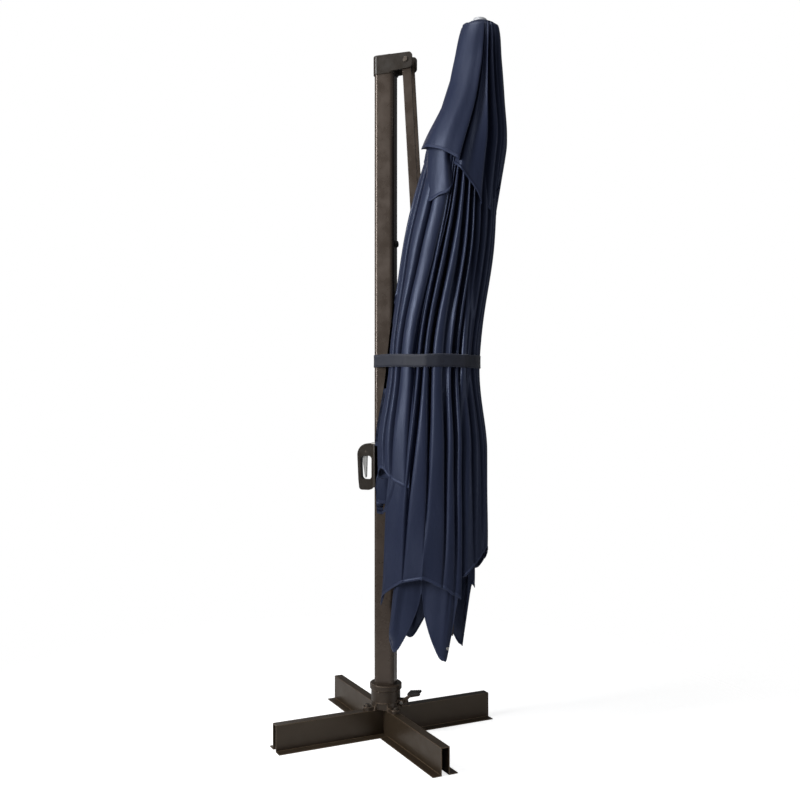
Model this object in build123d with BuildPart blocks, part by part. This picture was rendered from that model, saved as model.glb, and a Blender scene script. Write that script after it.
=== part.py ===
"""Side-post patio umbrella on a cross base, folded and tied to its mast.

Millimetres.  +Z is up, the origin is on the ground under the mast, and +X points from the
mast to the canopy.  The arms of the base lie at 45 degrees to X.
"""
from build123d import *
from math import atan2, cos, degrees, hypot, radians, sin
import os

os.makedirs("parts", exist_ok=True)

# ---- driving dimensions --------------------------------------------------------------
# cross base
ARM_SPAN = 876.0            # tip to tip of one beam
BEAM_TOP_W = 33.0
BEAM_H = 94.0
BEAM_FLANGE = 31.0
BEAM_SHEET = 3.0
LAP_GAP = 0.5               # clearance in the half lap of the two beams

# hub, collar and foot pedal
LUG_REACH = 76.0            # centre of each clamp bolt from the axis
LUG_W = 34.0
LUG_T = 14.0
HUB_R = 54.0
HUB_TOP = 164.0
SPINDLE_R = 22.0
SPINDLE_TOP = 430.0
WASHER_T = 2.0
COLLAR_R = 59.0
COLLAR_H = 21.0
SOCKET_DEPTH = 13.0
PEDAL_X = 66.0
PEDAL_Z = 122.0

# mast
MAST_D = 76.0               # along X
MAST_W = 60.0               # along Y
MAST_CORNER = 14.0
MAST_WALL = 3.0
CAP_BOTTOM = 2430.0
CAP_TOP = 2500.0
CAP_WALL = 4.0
CAP_POCKET = 15.0
STRUT_TOP = (86.0, 2472.0)  # X, Z of the pivot in the cap ears
STOP_Z = 1808.0
STOP_R = 12.0

# slider and D handle
SLIDER_BOTTOM = 908.0
SLIDER_TOP = 1076.0
SLIDER_SLOPE = 24.0         # the lower edge rises this much from back to front
SLIDER_GAP = 4.0            # room for the liners round the mast
SLIDER_WALL = 6.0
FOOT = (78.0, 990.0)        # X, Z of the boom foot pivot
RUN_GAP = 0.08

# boom
TIP = (312.0, 2463.0)       # X, Z of the head pivot
BOOM_D = 40.0
BOOM_W = 32.0
BOOM_WALL = 2.5
BRACKET_AT = 728.0          # strut pivot: distance along the boom from its foot
BRACKET_OFF = 62.9          # and its offset towards the mast
STRUT_W = 32.0
STRUT_T = 5.0
STRUT_IN = 21.0             # inner face of each bar from the middle plane

# head, ribs and stretchers
CROWN = (348.0, 2530.0)     # X, Z of the middle of the ring of rib pivots
LEAN = 5.1                  # lean of the folded head, degrees
PIVOT_R = 50.0
RIB_W = 12.0
RIB_D = 15.0
RIB_WALL = 1.2
CORNER_RIB = 2170.0
MID_RIB = 1518.0
REAR_RIB = 1330.0
FOLD_ANGLE = 2.3            # folded ribs from the post, degrees
REAR_FOLD_ANGLE = 5.14
ARM_AT = 320.0              # stretcher pivot on the rib, also the stretcher's length
PIN_R = 2.0
PIN_GAP = 0.05
POST_R = 10.0
POST_END = 690.0

# cloth
CLOTH_T = 4.0
CLOTH_CLEAR = 24.0          # folded cloth outside the ribs
STRAP_Z = 1354.0
STRAP_W = 46.0
STRAP_T = 3.0


def save(part, name):
    """Label one finished piece and write it."""
    part.label = name
    export_step(part, f"parts/{name}.step")


def xz(point, y=0.0):
    """A point of the middle plane, moved sideways by y."""
    return Vector(point[0], y, point[1])


# ---- cross base -----------------------------------------------------------------------
HALF_TOP = BEAM_TOP_W / 2
HALF_FOOT = HALF_TOP + BEAM_FLANGE
HALF_LAP = HALF_TOP + LAP_GAP


def beam_plane(angle):
    """Plane across a beam at its far end, with the beam along its normal."""
    along = Vector(cos(radians(angle)), sin(radians(angle)), 0)
    across = Vector(-along.Y, along.X, 0)
    return Plane(origin=along * (-ARM_SPAN / 2), x_dir=across, z_dir=along)


def hat_section():
    """Inverted channel with a flange along each foot; local y is measured along the height."""
    inner = HALF_TOP - BEAM_SHEET
    Polyline(
        (-HALF_FOOT, 0),
        (-inner, 0),
        (-inner, BEAM_H - BEAM_SHEET),
        (inner, BEAM_H - BEAM_SHEET),
        (inner, 0),
        (HALF_FOOT, 0),
        (HALF_FOOT, BEAM_SHEET),
        (HALF_TOP, BEAM_SHEET),
        (HALF_TOP, BEAM_H),
        (-HALF_TOP, BEAM_H),
        (-HALF_TOP, BEAM_SHEET),
        (-HALF_FOOT, BEAM_SHEET),
        close=True,
    )


def bolt_spots():
    """The four clamp bolts, one over each arm."""
    return PolarLocations(LUG_REACH, 4, start_angle=45)


with BuildPart() as beam_long:
    with BuildSketch(beam_plane(45)):
        with BuildLine():
            hat_section()
        make_face()
    extrude(amount=ARM_SPAN)
    with BuildSketch(Plane.XY.offset(BEAM_H / 2)):
        Rectangle(2 * HALF_LAP, 2 * HALF_LAP, rotation=45)
    extrude(amount=BEAM_H, mode=Mode.SUBTRACT)
    with BuildSketch(Plane.XY.offset(BEAM_H - 2 * BEAM_SHEET)):
        with bolt_spots():
            Circle(5.5)
    extrude(amount=3 * BEAM_SHEET, mode=Mode.SUBTRACT)
save(beam_long.part, "beam_long")

with BuildPart() as beam_cross:
    with BuildSketch(beam_plane(-45)):
        with BuildLine():
            hat_section()
        make_face()
    extrude(amount=ARM_SPAN)
    with BuildSketch(Plane.XY):
        Rectangle(2 * HALF_LAP, 2 * HALF_FOOT, rotation=-45)
    extrude(amount=BEAM_H / 2 + LAP_GAP, mode=Mode.SUBTRACT)
    with BuildSketch(Plane.XY):
        Rectangle(2 * (HALF_FOOT + LAP_GAP), 2 * HALF_FOOT, rotation=-45)
    extrude(amount=BEAM_SHEET + LAP_GAP, mode=Mode.SUBTRACT)
    with BuildSketch(Plane.XY.offset(BEAM_H - 2 * BEAM_SHEET)):
        with bolt_spots():
            Circle(5.5)
    extrude(amount=3 * BEAM_SHEET, mode=Mode.SUBTRACT)
save(beam_cross.part, "beam_cross")

# hub casting: four lugs on the beams, arches between them, and a bored neck
NECK_BASE = BEAM_H + 30.0
with BuildPart() as hub_casting:
    with BuildSketch(Plane.XY.offset(BEAM_H)):
        Circle(HUB_R + 8)
    with BuildSketch(Plane.XY.offset(NECK_BASE)):
        Circle(HUB_R - 2)
    loft()
    with BuildSketch(Plane.XY.offset(NECK_BASE)):
        Circle(HUB_R)
    extrude(amount=HUB_TOP - NECK_BASE)
    for quarter in range(4):
        with BuildSketch(Plane(origin=(0, 0, BEAM_H), x_dir=(1, 0, 0), z_dir=(0, 0, 1))):
            with PolarLocations(0, 1, start_angle=90 * quarter):
                with Locations((HUB_R + 10, 0)):
                    Rectangle(44, 48)
        extrude(amount=26, mode=Mode.SUBTRACT, taper=8)
    for quarter in range(4):
        with BuildSketch(Plane.XY.offset(BEAM_H)):
            with PolarLocations(0, 1, start_angle=45 + 90 * quarter):
                with Locations((LUG_REACH - 14, 0)):
                    SlotOverall(62, LUG_W)
        extrude(amount=LUG_T)
    with BuildSketch(Plane.XY.offset(BEAM_H - 1)):
        Circle(SPINDLE_R)
    extrude(amount=HUB_TOP, mode=Mode.SUBTRACT)
    with BuildSketch(Plane.XY.offset(BEAM_H - 1)):
        with bolt_spots():
            Circle(5.5)
    extrude(amount=HUB_TOP, mode=Mode.SUBTRACT)
    with BuildSketch(Plane.XY.offset(BEAM_H + LUG_T)):
        with bolt_spots():
            Circle(12)
    extrude(amount=HUB_TOP, mode=Mode.SUBTRACT)
    # ears for the pedal pin
    with BuildSketch(Plane.XZ):
        with Locations((PEDAL_X, PEDAL_Z)):
            Circle(9)
        with Locations((PEDAL_X - 12, PEDAL_Z)):
            Rectangle(24, 18)
    extrude(amount=17, both=True)
    with BuildSketch(Plane.XZ):
        with Locations((PEDAL_X + 2, PEDAL_Z + 2)):
            Rectangle(26, 34)
    extrude(amount=9, both=True, mode=Mode.SUBTRACT)
    with BuildSketch(Plane.XZ):
        with Locations((PEDAL_X, PEDAL_Z)):
            Circle(4)
    extrude(amount=20, both=True, mode=Mode.SUBTRACT)
save(hub_casting.part, "hub_casting")

with BuildPart() as clamp_bolts:
    with BuildSketch(Plane.XY.offset(BEAM_H + LUG_T)):
        with bolt_spots():
            Circle(11)
    extrude(amount=2)
    with BuildSketch(Plane.XY.offset(BEAM_H + LUG_T + 2)):
        with bolt_spots():
            RegularPolygon(8.5, 6)
    extrude(amount=7)
    with BuildSketch(Plane.XY.offset(BEAM_H - 26)):
        with bolt_spots():
            Circle(5)
    extrude(amount=26 + LUG_T)
save(clamp_bolts.part, "clamp_bolts")

with BuildPart() as clamp_nuts:
    with BuildSketch(Plane.XY.offset(BEAM_H - BEAM_SHEET - 11)):
        with bolt_spots():
            RegularPolygon(9, 6)
            Circle(5, mode=Mode.SUBTRACT)
    extrude(amount=9)
    with BuildSketch(Plane.XY.offset(BEAM_H - BEAM_SHEET - 2)):
        with bolt_spots():
            Circle(11)
            Circle(5, mode=Mode.SUBTRACT)
    extrude(amount=2)
save(clamp_nuts.part, "clamp_nuts")

with BuildPart() as spindle:
    with BuildSketch(Plane.XY.offset(BEAM_H)):
        Circle(SPINDLE_R)
        Circle(SPINDLE_R - 4, mode=Mode.SUBTRACT)
    extrude(amount=SPINDLE_TOP - BEAM_H)
    chamfer(spindle.edges().group_by(Axis.Z)[-1], 1.5)
save(spindle.part, "spindle")

with BuildPart() as thrust_washer:
    with BuildSketch(Plane.XY.offset(HUB_TOP)):
        Circle(HUB_R - 2)
        Circle(SPINDLE_R + 1, mode=Mode.SUBTRACT)
    extrude(amount=WASHER_T)
save(thrust_washer.part, "thrust_washer")

# foot pedal: a forged arm on a pin, with a ribbed rubber pad
PAD_X = 111.0
PAD_Z = 158.0
PAD_TILT = 8.0
with BuildPart() as pedal_arm:
    with BuildSketch(Plane.XZ):
        with BuildLine():
            Polyline(
                (PEDAL_X - 7, PEDAL_Z - 4),
                (PEDAL_X + 5, PEDAL_Z - 7),
                (PEDAL_X + 30, PEDAL_Z + 20),
                (PAD_X + 20, PAD_Z - 7),
                (PAD_X + 19, PAD_Z - 2),
                (PAD_X - 20, PAD_Z - 8),
                (PEDAL_X - 4, PEDAL_Z + 7),
                close=True,
            )
        make_face()
        with Locations((PEDAL_X, PEDAL_Z)):
            Circle(8)
            Circle(4 + PIN_GAP, mode=Mode.SUBTRACT)
    extrude(amount=8, both=True)
save(pedal_arm.part, "pedal_arm")

with BuildPart() as pedal_pad:
    with BuildSketch(Plane.XZ):
        with Locations(Location((PAD_X, PAD_Z - 0.6), PAD_TILT)):
            with Locations((0, 1.5)):
                RectangleRounded(44, 7, 2)
            with GridLocations(7, 1, 6, 1):
                with Locations((0, 5.5)):
                    Rectangle(3.4, 3)
    extrude(amount=20, both=True)
    with BuildSketch(Plane.XZ):
        with BuildLine():
            Polyline(
                (PEDAL_X + 20, PEDAL_Z + 10),
                (PAD_X + 20, PAD_Z - 7),
                (PAD_X + 19, PAD_Z - 2),
                (PAD_X - 20, PAD_Z - 8),
                (PEDAL_X + 10, PEDAL_Z + 20),
                close=True,
            )
        make_face()
    extrude(amount=8, both=True, mode=Mode.SUBTRACT)
save(pedal_pad.part, "pedal_pad")

with BuildPart() as pedal_pin:
    with BuildSketch(Plane.XZ):
        with Locations((PEDAL_X, PEDAL_Z)):
            Circle(4)
    extrude(amount=17, both=True)
    with BuildSketch(Plane.XZ.offset(17)):
        with Locations((PEDAL_X, PEDAL_Z)):
            Circle(6)
    extrude(amount=2)
save(pedal_pin.part, "pedal_pin")

# ---- mast ------------------------------------------------------------------------------
COLLAR_BOTTOM = HUB_TOP + WASHER_T
COLLAR_TOP = COLLAR_BOTTOM + COLLAR_H
MAST_BOTTOM = COLLAR_TOP - SOCKET_DEPTH
MAST_TOP = CAP_BOTTOM + CAP_POCKET

with BuildPart() as turning_collar:
    with BuildSketch(Plane.XY.offset(COLLAR_BOTTOM)):
        Circle(COLLAR_R)
        Circle(SPINDLE_R + 0.1, mode=Mode.SUBTRACT)
    extrude(amount=COLLAR_H)
    chamfer(turning_collar.edges().filter_by(GeomType.CIRCLE).group_by(SortBy.RADIUS)[-1], 2)
    with BuildSketch(Plane.XY.offset(MAST_BOTTOM)):
        RectangleRounded(MAST_D, MAST_W, MAST_CORNER)
    extrude(amount=SOCKET_DEPTH, mode=Mode.SUBTRACT)
save(turning_collar.part, "turning_collar")

with BuildPart() as mast_tube:
    with BuildSketch(Plane.XY.offset(MAST_BOTTOM)):
        RectangleRounded(MAST_D, MAST_W, MAST_CORNER)
        RectangleRounded(
            MAST_D - 2 * MAST_WALL,
            MAST_W - 2 * MAST_WALL,
            MAST_CORNER - MAST_WALL,
            mode=Mode.SUBTRACT,
        )
    extrude(amount=MAST_TOP - MAST_BOTTOM)
save(mast_tube.part, "mast_tube")

with BuildPart() as mast_insert:
    with BuildSketch(Plane.XY.offset(MAST_BOTTOM)):
        RectangleRounded(
            MAST_D - 2 * MAST_WALL,
            MAST_W - 2 * MAST_WALL,
            MAST_CORNER - MAST_WALL,
        )
        Circle(SPINDLE_R + RUN_GAP, mode=Mode.SUBTRACT)
    extrude(amount=SPINDLE_TOP - 20 - MAST_BOTTOM)
save(mast_insert.part, "mast_insert")

# cap over the mast, with two ears that carry the strut
EAR_IN = 27.0
EAR_OUT = 34.0
EAR_END = STRUT_TOP[0] + 24.0
with BuildPart() as top_cap:
    with BuildSketch(Plane.XY.offset(CAP_BOTTOM)):
        RectangleRounded(
            MAST_D + 2 * CAP_WALL,
            2 * EAR_OUT,
            MAST_CORNER + CAP_WALL,
        )
    extrude(amount=CAP_TOP - CAP_BOTTOM)
    fillet(top_cap.edges().group_by(Axis.Z)[-1], 5)
    with BuildSketch(Plane.XZ):
        with BuildLine():
            FilletPolyline(
                (0, CAP_BOTTOM + 4),
                (EAR_END, CAP_BOTTOM + 12),
                (EAR_END, CAP_TOP - 2),
                (0, CAP_TOP - 2),
                radius=13,
                close=True,
            )
        make_face()
    extrude(amount=EAR_OUT, both=True)
    with BuildSketch(Plane.XZ):
        with Locations(((MAST_D / 2 + CAP_WALL + EAR_END) / 2 + 10, CAP_BOTTOM + 35)):
            Rectangle(EAR_END - MAST_D / 2 - CAP_WALL + 20, 90)
    extrude(amount=EAR_IN, both=True, mode=Mode.SUBTRACT)
    with BuildSketch(Plane.XY.offset(CAP_BOTTOM)):
        RectangleRounded(MAST_D, MAST_W, MAST_CORNER)
    extrude(amount=CAP_POCKET, mode=Mode.SUBTRACT)
    with BuildSketch(Plane.XZ):
        with Locations(STRUT_TOP):
            Circle(5)
    extrude(amount=EAR_OUT + 1, both=True, mode=Mode.SUBTRACT)
save(top_cap.part, "top_cap")

with BuildPart() as cap_pivot_bolt:
    with BuildSketch(Plane.XZ):
        with Locations(STRUT_TOP):
            Circle(5)
    extrude(amount=EAR_OUT, both=True)
    for side in (1, -1):
        with BuildSketch(Plane.XZ.offset(side * EAR_OUT)):
            with Locations(STRUT_TOP):
                Circle(9)
        extrude(amount=side * 4)
    fillet(cap_pivot_bolt.edges().filter_by(GeomType.CIRCLE).group_by(Axis.Y)[0], 1.5)
save(cap_pivot_bolt.part, "cap_pivot_bolt")

with BuildPart() as stop_knob:
    with BuildSketch(Plane.YZ.offset(MAST_D / 2)):
        with Locations((0, STOP_Z)):
            Circle(STOP_R)
    extrude(amount=9)
    fillet(stop_knob.edges().group_by(Axis.X)[-1], 3)
save(stop_knob.part, "stop_knob")

# ---- slider, handle and trigger ----------------------------------------------------------
SLEEVE_D = MAST_D + 2 * (SLIDER_GAP + SLIDER_WALL)
SLEEVE_W = MAST_W + 2 * (SLIDER_GAP + SLIDER_WALL)
LINER_D = MAST_D + 2 * SLIDER_GAP
LINER_W = MAST_W + 2 * SLIDER_GAP
LUG_IN = 10.0
LUG_OUT = 20.0
RIM_H = 4.0

with BuildPart() as slider_sleeve:
    with BuildSketch(Plane.XY.offset(SLIDER_BOTTOM)):
        RectangleRounded(SLEEVE_D, SLEEVE_W, MAST_CORNER + SLIDER_GAP)
    extrude(amount=SLIDER_TOP - RIM_H - SLIDER_BOTTOM)
    with BuildSketch(Plane.XZ):
        with BuildLine():
            Polyline(
                (-SLEEVE_D, SLIDER_BOTTOM - SLIDER_SLOPE / 2),
                (SLEEVE_D, SLIDER_BOTTOM + 1.5 * SLIDER_SLOPE),
                (SLEEVE_D, SLIDER_BOTTOM - SLIDER_SLOPE),
                (-SLEEVE_D, SLIDER_BOTTOM - SLIDER_SLOPE),
                close=True,
            )
        make_face()
    extrude(amount=SLEEVE_W, both=True, mode=Mode.SUBTRACT)
    # lugs for the foot of the boom
    with BuildSketch(Plane.XZ):
        with Locations(FOOT):
            Circle(16)
        with Locations(((FOOT[0] + MAST_D / 2) / 2, FOOT[1])):
            Rectangle(FOOT[0] - MAST_D / 2, 32)
    extrude(amount=LUG_OUT, both=True)
    with BuildSketch(Plane.XZ):
        with Locations((SLEEVE_D / 2 + 32, FOOT[1])):
            Rectangle(60, 60)
    extrude(amount=LUG_IN, both=True, mode=Mode.SUBTRACT)
    with BuildSketch(Plane.XZ):
        with Locations(FOOT):
            Circle(6)
    extrude(amount=LUG_OUT + 1, both=True, mode=Mode.SUBTRACT)
    with BuildSketch(Plane.XY.offset(SLIDER_BOTTOM - SLIDER_SLOPE)):
        RectangleRounded(LINER_D, LINER_W, MAST_CORNER + 2)
    extrude(amount=SLIDER_TOP, mode=Mode.SUBTRACT)
save(slider_sleeve.part, "slider_sleeve")


def round_bore():
    """Cut the mast's running clearance out of a liner's outline."""
    RectangleRounded(
        MAST_D + 2 * RUN_GAP,
        MAST_W + 2 * RUN_GAP,
        MAST_CORNER + RUN_GAP,
        mode=Mode.SUBTRACT,
    )


with BuildPart() as lower_liner:
    with BuildSketch(Plane.XY.offset(SLIDER_BOTTOM + SLIDER_SLOPE + 4)):
        RectangleRounded(LINER_D, LINER_W, MAST_CORNER + 2)
        round_bore()
    extrude(amount=30)
save(lower_liner.part, "lower_liner")

with BuildPart() as upper_liner:
    with BuildSketch(Plane.XY.offset(SLIDER_TOP - RIM_H - 30)):
        RectangleRounded(LINER_D, LINER_W, MAST_CORNER + 2)
        round_bore()
    extrude(amount=30)
    with BuildSketch(Plane.XY.offset(SLIDER_TOP - RIM_H)):
        RectangleRounded(SLEEVE_D, SLEEVE_W, MAST_CORNER + SLIDER_GAP)
        round_bore()
    extrude(amount=RIM_H)
save(upper_liner.part, "upper_liner")

# D handle on the back of the sleeve
HANDLE_BACK = -SLEEVE_D / 2
HANDLE_OUT = -108.0
GRIP_T = 11.0
HANDLE_LOW = 899.0
HANDLE_HIGH = 1072.0
HOLE_LOW = 938.0
HOLE_HIGH = 1026.0
HANDLE_HALF_W = 13.0
HANDLE_CROWN_R = 42.0
HANDLE_LOW_R = 12.0
HOLE_CORNER_R = 13.0
TRIGGER_PIVOT = (-76.0, 1041.0)
TRIGGER_HALF_W = 5.0
# the slot leaves room for the lever's shoulder when it is squeezed in
TRIGGER_SLOT_W = 34.0
TRIGGER_SLOT_H = 34.0
TRIGGER_SLOT_DROP = 5.0

with BuildPart() as handle_grip:
    with BuildSketch(Plane.XZ) as handle_outline:
        with BuildLine():
            Polyline(
                (HANDLE_BACK, HANDLE_LOW + 14),
                (HANDLE_BACK - 10, HANDLE_LOW),
                (HANDLE_OUT + 8, HANDLE_LOW),
                (HANDLE_OUT + 4, HOLE_LOW),
                (HANDLE_OUT, HOLE_HIGH),
                (HANDLE_OUT, HANDLE_HIGH),
                (HANDLE_BACK, HANDLE_HIGH),
                close=True,
            )
        make_face()
        low_corners = handle_outline.vertices().sort_by(Axis.Y)[:2]
        fillet(low_corners, HANDLE_LOW_R)
        high_corner = handle_outline.vertices().filter_by_position(
            Axis.Y, HANDLE_HIGH - 1, HANDLE_HIGH + 1
        ).sort_by(Axis.X)[0]
        fillet(high_corner, HANDLE_CROWN_R)
    extrude(amount=HANDLE_HALF_W, both=True)
    with BuildSketch(Plane.XZ) as handle_hole:
        with BuildLine():
            Polyline(
                (HANDLE_OUT + GRIP_T, HOLE_HIGH),
                (HANDLE_BACK - 4, HOLE_HIGH),
                (HANDLE_BACK - 4, HOLE_LOW),
                (HANDLE_OUT + GRIP_T + 4, HOLE_LOW),
                close=True,
            )
        make_face()
        fillet(handle_hole.vertices(), HOLE_CORNER_R)
    extrude(amount=HANDLE_HALF_W + 1, both=True, mode=Mode.SUBTRACT)
    # slot and pin hole for the trigger
    with BuildSketch(Plane.XZ):
        with Locations((TRIGGER_PIVOT[0], TRIGGER_PIVOT[1] - TRIGGER_SLOT_DROP)):
            Rectangle(TRIGGER_SLOT_W, TRIGGER_SLOT_H)
    extrude(amount=TRIGGER_HALF_W + 0.5, both=True, mode=Mode.SUBTRACT)
    with BuildSketch(Plane.XZ):
        with Locations(TRIGGER_PIVOT):
            Circle(3)
    extrude(amount=HANDLE_HALF_W + 1, both=True, mode=Mode.SUBTRACT)
save(handle_grip.part, "handle_grip")

with BuildPart() as slider_pins:
    with BuildSketch(Plane.XZ):
        with Locations(TRIGGER_PIVOT):
            Circle(3)
    extrude(amount=HANDLE_HALF_W, both=True)
    with BuildSketch(Plane.XZ):
        with Locations(FOOT):
            Circle(6)
    extrude(amount=LUG_OUT, both=True)
    for side in (1, -1):
        with BuildSketch(Plane.XZ.offset(side * LUG_OUT)):
            with Locations(FOOT):
                Circle(10)
        extrude(amount=side * 3)
save(slider_pins.part, "slider_pins")

with BuildPart() as trigger_lever:
    with BuildSketch(Plane.XZ):
        with Locations(TRIGGER_PIVOT):
            Circle(7)
        with BuildLine():
            Polyline(
                (TRIGGER_PIVOT[0] - 5, TRIGGER_PIVOT[1]),
                (TRIGGER_PIVOT[0] - 12, HOLE_HIGH + 1),
                (TRIGGER_PIVOT[0] - 15, HOLE_HIGH - 10),
                (TRIGGER_PIVOT[0] - 4.5, HOLE_LOW + 8),
                (TRIGGER_PIVOT[0] - 1, HOLE_LOW + 6),
                (TRIGGER_PIVOT[0] + 1, HOLE_LOW + 10),
                (TRIGGER_PIVOT[0] + 3, HOLE_HIGH - 10),
                (TRIGGER_PIVOT[0] + 6, TRIGGER_PIVOT[1]),
                close=True,
            )
        make_face()
        with Locations(TRIGGER_PIVOT):
            Circle(3 + PIN_GAP, mode=Mode.SUBTRACT)
    extrude(amount=TRIGGER_HALF_W, both=True)
save(trigger_lever.part, "trigger_lever")

# ---- boom and strut ---------------------------------------------------------------------
BOOM_LENGTH = hypot(TIP[0] - FOOT[0], TIP[1] - FOOT[1])
BOOM_LEAN = degrees(atan2(TIP[0] - FOOT[0], TIP[1] - FOOT[1]))
BOOM_X = Vector(cos(radians(BOOM_LEAN)), 0, -sin(radians(BOOM_LEAN)))
BOOM_Z = Vector(sin(radians(BOOM_LEAN)), 0, cos(radians(BOOM_LEAN)))
BOOM_PLANE = Plane(origin=xz(FOOT), x_dir=BOOM_X, z_dir=BOOM_Z)
BOOM_SIDE = Plane(origin=xz(FOOT), x_dir=BOOM_X, z_dir=(0, -1, 0))
TUBE_START = 60.0
TUBE_END = BOOM_LENGTH - 100.0
PLUG = 50.0
EYE_R = 14.0
TIP_HALF_W = 8.0
FOOT_HALF_W = LUG_IN - 0.3
CHEEK_OUT = 20.5
BRACKET_BOLTS = (BRACKET_AT - 24, BRACKET_AT + 24)


def tube_bore(mode=Mode.ADD):
    """The inside of the boom tube."""
    RectangleRounded(BOOM_D - 2 * BOOM_WALL, BOOM_W - 2 * BOOM_WALL, 3, mode=mode)


with BuildPart() as boom_tube:
    with BuildSketch(BOOM_PLANE.offset(TUBE_START)):
        RectangleRounded(BOOM_D, BOOM_W, 5)
        tube_bore(Mode.SUBTRACT)
    extrude(amount=TUBE_END - TUBE_START)
    with BuildSketch(BOOM_SIDE):
        with Locations(*[(0, s) for s in BRACKET_BOLTS]):
            Circle(4)
    extrude(amount=BOOM_W, both=True, mode=Mode.SUBTRACT)
save(boom_tube.part, "boom_tube")

with BuildPart() as boom_foot:
    with BuildSketch(BOOM_SIDE):
        Circle(EYE_R)
        with Locations((0, TUBE_START / 2)):
            Rectangle(2 * EYE_R - 4, TUBE_START)
    extrude(amount=FOOT_HALF_W, both=True)
    with BuildSketch(BOOM_PLANE.offset(TUBE_START - 12)):
        RectangleRounded(BOOM_D, BOOM_W, 5)
    extrude(amount=12)
    with BuildSketch(BOOM_PLANE.offset(TUBE_START)):
        tube_bore()
    extrude(amount=PLUG)
    with BuildSketch(BOOM_SIDE):
        Circle(6 + PIN_GAP)
    extrude(amount=BOOM_W, both=True, mode=Mode.SUBTRACT)
save(boom_foot.part, "boom_foot")

with BuildPart() as boom_tip:
    with BuildSketch(BOOM_SIDE):
        with Locations((0, BOOM_LENGTH)):
            Circle(EYE_R - 1)
        with Locations((0, BOOM_LENGTH - 50)):
            Rectangle(2 * EYE_R - 4, 100)
    extrude(amount=TIP_HALF_W, both=True)
    with BuildSketch(BOOM_PLANE.offset(TUBE_END - PLUG)):
        tube_bore()
    extrude(amount=PLUG)
    with BuildSketch(BOOM_SIDE):
        with Locations((0, BOOM_LENGTH)):
            Circle(5 + PIN_GAP)
    extrude(amount=BOOM_W, both=True, mode=Mode.SUBTRACT)
save(boom_tip.part, "boom_tip")

# two cheeks clamped to the boom, open between them so that the rear rib can lie there
with BuildPart() as strut_bracket:
    with BuildSketch(BOOM_SIDE):
        with BuildLine():
            FilletPolyline(
                (BOOM_D / 2, BRACKET_AT - 44),
                (BOOM_D / 2, BRACKET_AT + 44),
                (-BOOM_D / 2, BRACKET_AT + 44),
                (-BRACKET_OFF - 14, BRACKET_AT + 14),
                (-BRACKET_OFF - 14, BRACKET_AT - 14),
                (-BOOM_D / 2, BRACKET_AT - 44),
                radius=9,
                close=True,
            )
        make_face()
    extrude(amount=CHEEK_OUT, both=True)
    with BuildSketch(BOOM_SIDE):
        with Locations((-BRACKET_OFF / 2, BRACKET_AT)):
            Rectangle(3 * BRACKET_OFF, 3 * BRACKET_OFF)
    extrude(amount=BOOM_W / 2, both=True, mode=Mode.SUBTRACT)
    with BuildSketch(BOOM_SIDE):
        with Locations(*[(0, s) for s in BRACKET_BOLTS]):
            Circle(4)
    extrude(amount=BOOM_W, both=True, mode=Mode.SUBTRACT)
save(strut_bracket.part, "strut_bracket")

with BuildPart() as bracket_bolts:
    with BuildSketch(BOOM_SIDE):
        with Locations(*[(0, s) for s in BRACKET_BOLTS]):
            Circle(4)
    extrude(amount=CHEEK_OUT, both=True)
save(bracket_bolts.part, "bracket_bolts")

BRACKET_EYE = BOOM_SIDE.from_local_coords(Vector(-BRACKET_OFF, BRACKET_AT, 0))
STRUT_RUN = BRACKET_EYE - xz(STRUT_TOP)
STRUT_LENGTH = STRUT_RUN.length
STRUT_SIDE = Plane(
    origin=xz(STRUT_TOP),
    x_dir=Vector(STRUT_RUN.Z, 0, -STRUT_RUN.X),
    z_dir=(0, -1, 0),
)

with BuildPart() as strut_bars:
    for side in (1, -1):
        with BuildSketch(STRUT_SIDE.offset(side * STRUT_IN)):
            with Locations((0, STRUT_LENGTH / 2)):
                SlotCenterToCenter(STRUT_LENGTH, STRUT_W, rotation=90)
            Circle(5 + PIN_GAP, mode=Mode.SUBTRACT)
        extrude(amount=side * STRUT_T)
    with BuildSketch(STRUT_SIDE):
        with Locations((0, STRUT_LENGTH)):
            Circle(5)
    extrude(amount=STRUT_IN + 2 * STRUT_T, both=True, mode=Mode.SUBTRACT)
save(strut_bars.part, "strut_bars")

with BuildPart() as strut_spacer:
    with BuildSketch(STRUT_SIDE):
        Circle(9)
        Circle(5 + PIN_GAP, mode=Mode.SUBTRACT)
    extrude(amount=STRUT_IN, both=True)
save(strut_spacer.part, "strut_spacer")

with BuildPart() as strut_end_bolts:
    for side in (1, -1):
        with BuildSketch(STRUT_SIDE.offset(side * STRUT_IN)):
            with Locations((0, STRUT_LENGTH)):
                Circle(5)
        extrude(amount=side * STRUT_T)
        with BuildSketch(STRUT_SIDE.offset(side * (STRUT_IN + STRUT_T))):
            with Locations((0, STRUT_LENGTH)):
                Circle(9)
        extrude(amount=side * 4)
save(strut_end_bolts.part, "strut_end_bolts")

# ---- head ---------------------------------------------------------------------------------
HEAD_X = Vector(cos(radians(LEAN)), 0, -sin(radians(LEAN)))
HEAD_Z = Vector(sin(radians(LEAN)), 0, cos(radians(LEAN)))
HEAD = Plane(origin=xz(CROWN), x_dir=HEAD_X, z_dir=HEAD_Z)
HEAD_SIDE = Plane(origin=xz(CROWN), x_dir=HEAD_X, z_dir=(0, -1, 0))
HUB_HALF = 12.0
HUB_DISC_R = 62.0
RIB_AZIMUTHS = range(0, 360, 45)
SLOT_IN = 38.0
PLATE_LOW = 36.0
PLATE_R = 43.0
STEM_R = 12.0
BLOCK_R = 34.0
BLOCK_LOW = 30.0
CHEEK_IN = TIP_HALF_W + 0.3
CHEEK_T = 5.5


def head_point(radius, azimuth, down):
    """Point of the head at a radius and azimuth, measured down the post."""
    angle = radians(azimuth)
    return HEAD.from_local_coords(Vector(radius * cos(angle), radius * sin(angle), -down))


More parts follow.
